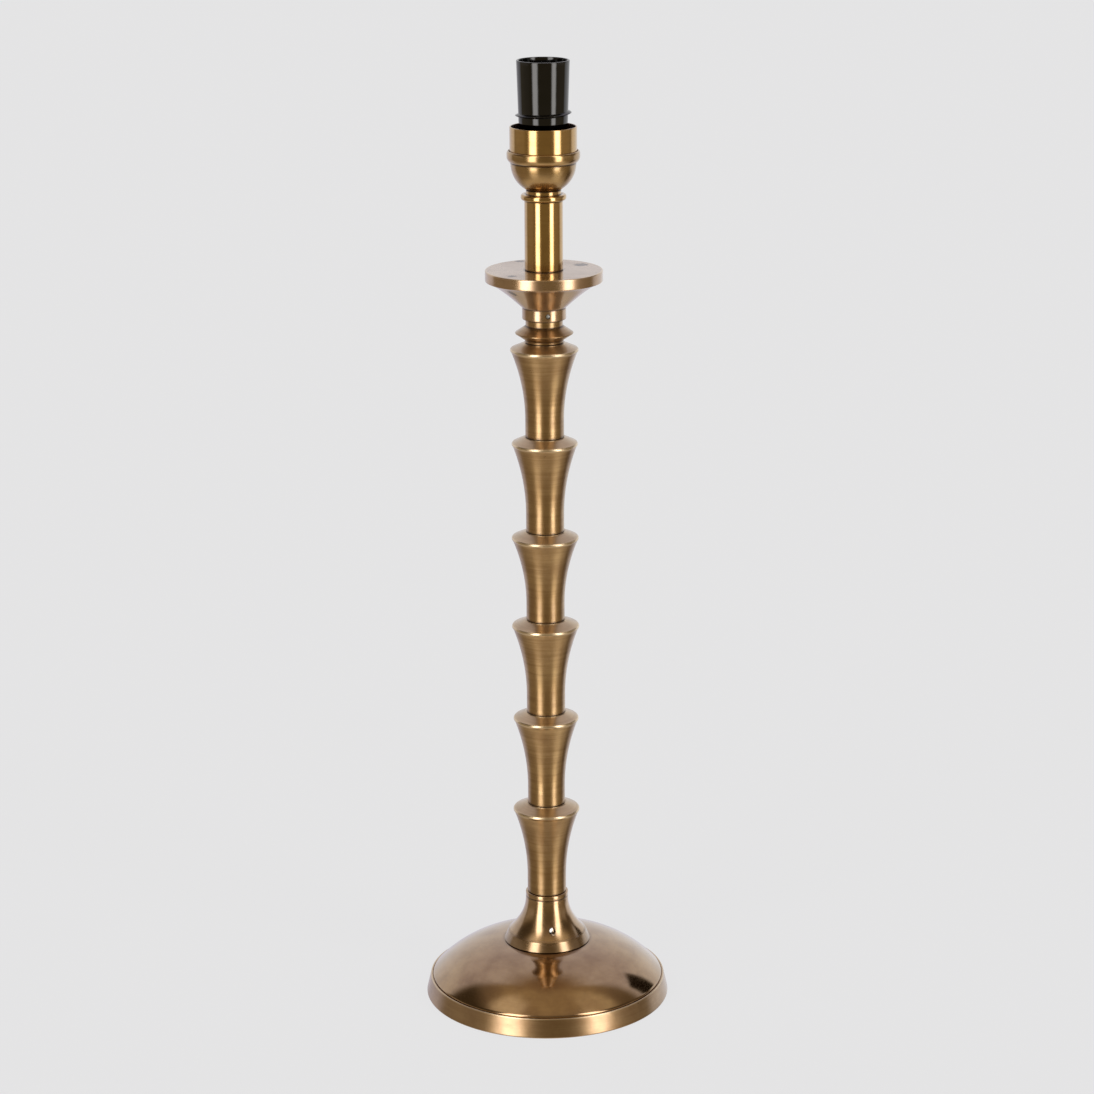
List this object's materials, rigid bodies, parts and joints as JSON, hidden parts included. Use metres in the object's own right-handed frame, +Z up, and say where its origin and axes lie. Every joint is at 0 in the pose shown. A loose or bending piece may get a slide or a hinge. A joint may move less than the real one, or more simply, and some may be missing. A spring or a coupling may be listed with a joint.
{
  "type": "lamp base",
  "caption": "Turned brass stick lamp base: domed weighted foot, column of flared segments, drip disc, cup and black screw lampholder.",
  "frame": {"origin": "centre of the felt face that the lamp stands on", "axes": "+Z up along the column; -Y is the front, where the two grub screws are; the lead's inlet is at +Y"},
  "size_m": [0.159, 0.159, 0.6126],
  "materials": {
    "satin_brass": "aged satin brass, turned, lacquered",
    "polished_brass": "aged polished brass",
    "plain_brass": "plain brass stampings and turnings",
    "cast_iron": "rough cast",
    "zinc_steel": "zinc plated",
    "green_felt": "felt",
    "black_phenolic": "moulded phenolic, glossy",
    "glazed_ceramic": "glazed ceramic"
  },
  "bodies": {
    "lamp": {"base_dome": "polished_brass", "base_weight": "cast_iron", "base_felt": "green_felt", "cord_bush": "black_phenolic", "base_washer": "zinc_steel", "base_nut": "zinc_steel", "tie_rod": "zinc_steel", "foot_ferrule": "polished_brass", "ferrule_grub": "zinc_steel", "cone_ring": "satin_brass", "drip_disc": "satin_brass", "collar_grub": "zinc_steel", "upper_tube": "polished_brass", "neck_ring": "polished_brass", "holder_cup": "polished_brass", "cup_bead": "polished_brass", "holder_shell": "polished_brass", "cup_washer": "zinc_steel", "cup_nut": "plain_brass", "holder_cap": "black_phenolic", "cap_bush": "plain_brass", "holder_sleeve": "black_phenolic", "contact_block": "glazed_ceramic", "screw_shell": "plain_brass", "shell_rivet_1": "plain_brass", "shell_rivet_2": "plain_brass", "terminal_screw_1": "plain_brass", "terminal_screw_2": "plain_brass", "side_contact": "plain_brass", "centre_tag": "plain_brass", "contact_spring": "zinc_steel", "column_segment_1": "satin_brass", "column_segment_2": "satin_brass", "column_segment_3": "satin_brass", "column_segment_4": "satin_brass", "column_segment_5": "satin_brass", "column_segment_6": "satin_brass"},
    "contact": {"centre_contact": "plain_brass"}
  },
  "joints": [
    {"name": "contact_press", "type": "slide", "parent": "lamp", "child": "contact", "axis": [0, 0, 1], "range_m": [-0.0015, 0], "stiffness_N_per_m": 400, "springref_m": 0.001, "deforming": ["contact_spring"]}
  ]
}
